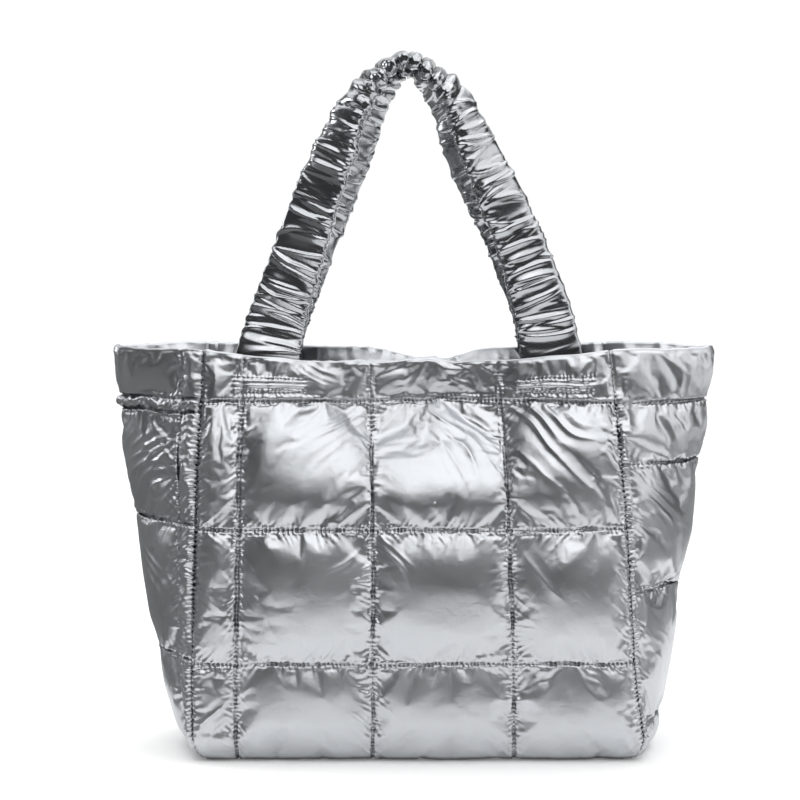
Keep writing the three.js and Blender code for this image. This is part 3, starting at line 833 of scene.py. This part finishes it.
def handle(name):
    plan = handles[name]
    face = plan["face"]
    points = strapPoints(plan)
    chord = lengthsOf(points)
    dense = np.linspace(0, chord[-1], handles["dense"])
    path = np.stack([curveThrough(chord, points[:, i])(dense) for i in range(3)], -1)
    length = lengthsOf(path)
    reached = np.linspace(0, length[-1], int(length[-1] / handles["step"]) + 1)
    key = np.interp(reached, length, dense)
    centre = alongLine(path, dense, key)
    along = unit(np.gradient(centre, axis=0))
    across = unit(np.cross(along, (0, face, 0)))
    normal = np.cross(along, across)
    sizes = (handles["width"], handles["thick"], handles["twist"])
    wide, thick, twist = (curveThrough(chord, size)(key)[:, None] for size in sizes)
    turn = face * np.radians(twist)
    across, normal = (across * np.cos(turn) + np.cross(along, across) * np.sin(turn),
                      normal * np.cos(turn) + np.cross(along, normal) * np.sin(turn))
    angle = 2 * np.pi * np.arange(handles["around"]) / handles["around"]
    side, lift = wide / 2 * flattened(np.cos(angle)), thick / 2 * flattened(np.sin(angle))
    outward = across[:, None] * np.cos(angle)[None, :, None] + normal[:, None] * np.sin(angle)[None, :, None]
    gather = gathersOn(reached[:, None], angle[None, :], centre[:, 2], plan["seed"])
    tube = centre[:, None] + across[:, None] * side[..., None] + normal[:, None] * lift[..., None]
    tube = tube + outward * gather[..., None]
    index = np.arange(tube.shape[0] * handles["around"]).reshape(-1, handles["around"])
    after = np.roll(index, -1, axis=1)
    faces = np.stack([index[:-1], after[:-1], after[1:], index[1:]], -1).reshape(-1, 4).tolist()
    faces += [index[0, ::-1].tolist(), index[-1].tolist()]
    piece = meshObject(name + "_handle_satin", tube.reshape(-1, 3) * mm, faces)
    report(f"{name} handle gathered, {length[-1]:.0f} mm long")
    return piece


frontHandle = handle("front")
backHandle = handle("back")


# sRGB hex code to linear colour.
def hexColor(code):
    def linear(value):
        return value / 12.92 if value <= 0.04045 else ((value + 0.055) / 1.055) ** 2.4

    return [linear(int(code[i:i + 2], 16) / 255) for i in (1, 3, 5)] + [1]


# Adds a node: sockets take a constant or the output of another node.
def addNode(material, kind, sockets=(), **settings):
    node = material.node_tree.nodes.new(kind)
    for key, value in settings.items():
        setattr(node, key, value)
    join(material, node, sockets)
    return node


def join(material, node, sockets):
    for socket, value in dict(sockets).items():
        if isinstance(value, bpy.types.NodeSocket):
            material.node_tree.links.new(value, node.inputs[socket])
        else:
            node.inputs[socket].default_value = value


# The Mix node has sockets for each data type: these are the colour ones.
def mixColors(material, share, first, second):
    return addNode(material, "ShaderNodeMix", {0: share, 6: first, 7: second}, data_type="RGBA").outputs[2]


def rescaled(material, value, before, after):
    return addNode(material, "ShaderNodeMapRange", {
        "Value": value, "From Min": before[0], "From Max": before[1],
        "To Min": after[0], "To Max": after[1]}).outputs["Result"]


def newMaterial(name):
    material = bpy.data.materials.new(name)
    material.use_nodes = True
    return material, material.node_tree.nodes["Principled BSDF"]


# Nylon satin, foil-coated and calendered: a soft metal sheen, a faint weave, and fine creases from handling.
# Its threads are about 0.15 mm apart, and are drawn at 1.3 mm so that a picture this size can show them.
# "crinkle" and "cloud" are patterns about 5 and 36 mm across. The colour has painted shade in the folds and
# seam valleys, down to "fold" where least open, standing in for the shade of creases finer than the mesh. On
# the handles it reaches "within" 30 mm, and paints shade also where one handle lies near the other or the bag.
# "within" and the bumps are in metres.
satinLook = {
    "weave": {"Scale": 350, "Distortion": 0.4}, "weaveBump": {"Strength": 0.12, "Distance": 0.0002},
    "crinkle": {"Scale": 190, "Detail": 3, "Distortion": 0.6}, "creaseHeight": 0.0006,
    "cloud": {"Scale": 28, "Detail": 4}, "cloudRange": (0.3, 0.7), "samples": 8,
    "padded": {"pale": "#d0d2d5", "deep": "#bfc2c6", "rough": (0.31, 0.40), "creases": 0.35,
               "within": 0.004, "fold": 0.3, "open": (0.25, 0.85)},
    # The gathered colours are darker than the padded ones: painted shade of the dense gathers.
    "gathered": {"pale": "#c9cbce", "deep": "#a6a9ad", "rough": (0.17, 0.24), "creases": 0.15,
                 "within": 0.03, "fold": 0.08, "open": (0.35, 0.92)},
}


def satinOf(name, look):
    satin, surface = newMaterial(name)
    place = addNode(satin, "ShaderNodeTexCoord").outputs["Object"]

    def pattern(kind, key, **settings):
        return addNode(satin, kind, {"Vector": place, **satinLook[key]}, **settings).outputs["Fac"]

    clouds = pattern("ShaderNodeTexNoise", "cloud")
    tone = mixColors(satin, clouds, hexColor(look["deep"]), hexColor(look["pale"]))
    # Painted shade: how closed in the surface is, from folds, seams or a nearby part, darkens its colour.
    exposed = addNode(satin, "ShaderNodeAmbientOcclusion", {"Distance": look["within"]},
                      samples=satinLook["samples"]).outputs["AO"]
    lit = rescaled(satin, exposed, look["open"], (look["fold"], 1))
    woven = addNode(satin, "ShaderNodeBump", {
        "Height": pattern("ShaderNodeTexWave", "weave", bands_direction="DIAGONAL"),
        **satinLook["weaveBump"]}).outputs["Normal"]
    creased = addNode(satin, "ShaderNodeBump", {
        "Height": pattern("ShaderNodeTexNoise", "crinkle"), "Strength": look["creases"],
        "Distance": satinLook["creaseHeight"], "Normal": woven}).outputs["Normal"]
    # The base colour carries the painted shade: the tone is mixed towards black by "lit".
    join(satin, surface, {
        "Base Color": mixColors(satin, lit, hexColor("#000000"), tone), "Metallic": 1,
        "Roughness": rescaled(satin, clouds, satinLook["cloudRange"], look["rough"]), "Normal": creased})
    return satin


paddedSatin = satinOf("calendered silver nylon satin, padded", satinLook["padded"])
# Gathered on its elastic the same cloth is drawn tight over each fold, and its sheen is harder. Its colours
# are darker than the padded satin's: painted shade of the dense gathers.
gatheredSatin = satinOf("calendered silver nylon satin, gathered", satinLook["gathered"])

# Polyester sewing thread, twisted from fine strands about 0.5 mm apart: duller and darker than the cloth.
threadLook = {"color": "#7d8084", "twist": 900, "strength": 0.4, "height": 0.0001, "rough": 0.5, "sheen": 0.3}
polyester, threadSurface = newMaterial("twisted polyester thread")
twist = addNode(polyester, "ShaderNodeTexWave", {
    "Vector": addNode(polyester, "ShaderNodeTexCoord").outputs["Object"], "Scale": threadLook["twist"]},
    bands_direction="DIAGONAL").outputs["Fac"]
strands = addNode(polyester, "ShaderNodeBump", {
    "Height": twist, "Strength": threadLook["strength"], "Distance": threadLook["height"]}).outputs["Normal"]
join(polyester, threadSurface, {
    "Base Color": hexColor(threadLook["color"]), "Roughness": threadLook["rough"],
    "Sheen Weight": threadLook["sheen"], "Normal": strands})

dressed = ((frontPanel, "front_panel"), (backPanel, "back_panel"), (leftGusset, "left_gusset"),
           (rightGusset, "right_gusset"), (bottomPanel, "base_panel"),
           (frontHandle, "front_handle"), (backHandle, "back_handle"))
for piece, node in dressed:
    piece.data.materials.append(gatheredSatin if node.endswith("handle") else paddedSatin)
    shadeSmooth(piece)
    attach(piece, "root")
    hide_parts(node)
for piece in stitched:
    piece.data.materials.append(polyester)
    shadeSmooth(piece)
    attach(piece, "root")
report("dressed")

# Camera at the photograph's angle, for a square picture. Lengths in mm, elevation in degrees.
view = {"elevation": 6, "distance": 2400, "target": (-9.5, 0, 242.8), "focalPixels": 3428, "pixels": 800,
        "sensor": 36}
cameraData = bpy.data.cameras.new("camera")
cameraData.sensor_width = view["sensor"]
cameraData.lens = view["focalPixels"] / view["pixels"] * view["sensor"]
camera = bpy.data.objects.new("camera", cameraData)
bpy.context.scene.collection.objects.link(camera)
tilt = math.radians(view["elevation"])
target = Vector(view["target"]) * mm
camera.location = target + Vector((0, -math.cos(tilt), math.sin(tilt))) * view["distance"] * mm
camera.rotation_euler = (math.pi / 2 - tilt, 0, 0)
bpy.context.scene.camera = camera

# White studio paper, matt, in metres: flat under and behind the bag, then bent up into a backdrop.
# It glows a little, so that it comes out white.
sweep = {"front": -0.7, "flat": 3.4, "bend": 0.8, "bendFrom": 0.15, "steps": 10, "top": 3.5, "half": 4,
         "under": 0.0005, "color": "#fcfcfc", "rough": 0.9, "glow": 0.16}
profile = [(sweep["front"], 0), (sweep["flat"], 0)]
for turn in np.linspace(sweep["bendFrom"], math.pi / 2, sweep["steps"]):
    profile.append((sweep["flat"] + sweep["bend"] * math.sin(turn), sweep["bend"] * (1 - math.cos(turn))))
profile.append((sweep["flat"] + sweep["bend"], sweep["top"]))
edges = [[(x, y, z - sweep["under"]) for x in (-sweep["half"], sweep["half"])] for y, z in profile]
floor = meshObject("floor", np.array(edges).reshape(-1, 3), quadsOf(len(profile), 2).tolist())
paper, paperSurface = newMaterial("white studio paper")
join(paper, paperSurface, {
    "Base Color": hexColor(sweep["color"]), "Roughness": sweep["rough"],
    "Emission Color": hexColor("#ffffff"), "Emission Strength": sweep["glow"]})
floor.data.materials.append(paper)
shadeSmooth(floor)

# Two cards of grey felt beside the bag: x of the top and foot, y in front and behind and height, in metres,
# and colour. Only reflections see them: they keep the white floor out of the gussets.
cards = {
    "left_card": (-0.5, -0.26, -0.8, 1.3, 0.3, "#707070"),
    "right_card": (0.45, 0.45, -0.5, 1.4, 0.16, "#9a9a9a"),
}
cardLift = 0.002
for name, (top, foot, front, back, height, color) in cards.items():
    felt, feltSurface = newMaterial("grey felt of the " + name)
    join(felt, feltSurface, {"Base Color": hexColor(color), "Roughness": 1})
    corners = [(foot, front, cardLift), (foot, back, cardLift), (top, back, height), (top, front, height)]
    card = meshObject(name, np.array(corners), [(0, 1, 2, 3)])
    card.data.materials.append(felt)
    card.visible_camera = False
    card.visible_diffuse = False
    card.visible_shadow = False

# Lamps: place, aim and size in metres, and power in watts. "shade" lights the paper beside the bag, where
# its shadow falls, and the satin doesn't reflect it.
lights = {
    "top": ((0.2, -0.3, 2.3), (0, 0, 0.2), (3.6, 2.6), 48),
    "brow": ((0.7, -1.8, 1.75), (0, 0, 0.3), (2.6, 1.0), 12),
    "left": ((-1.9, 0.6, 1.0), (-0.15, 0, 0.2), (0.5, 0.6), 5),
    "right": ((2.3, -0.7, 1.0), (0, 0, 0.25), (1.6, 1.8), 11.5),
    "paper": ((0, 1.9, 2.4), (0, 2.9, 0.2), (5, 2.6), 62),
    "shade": ((-0.3, 0.05, 0.75), (-0.27, 0.05, 0), (0.2, 0.4), 1.2),
}
for name, (place, aim, size, power) in lights.items():
    data = bpy.data.lights.new(name, "AREA")
    data.shape = "RECTANGLE"
    data.size, data.size_y = size
    data.energy = power
    light = bpy.data.objects.new(name, data)
    bpy.context.scene.collection.objects.link(light)
    light.location = place
    light.visible_glossy = name != "shade"
    light.rotation_euler = (Vector(aim) - Vector(place)).to_track_quat("-Z", "Y").to_euler()

# Dark room round the studio
room = {"color": "#4b4b4b", "strength": 0.796}
world = bpy.data.worlds.new("studio")
world.use_nodes = True
join(world, world.node_tree.nodes["Background"], {
    "Color": hexColor(room["color"]), "Strength": room["strength"]})
bpy.context.scene.world = world
bpy.context.scene.view_settings.view_transform = "Standard"
report("studio lit")
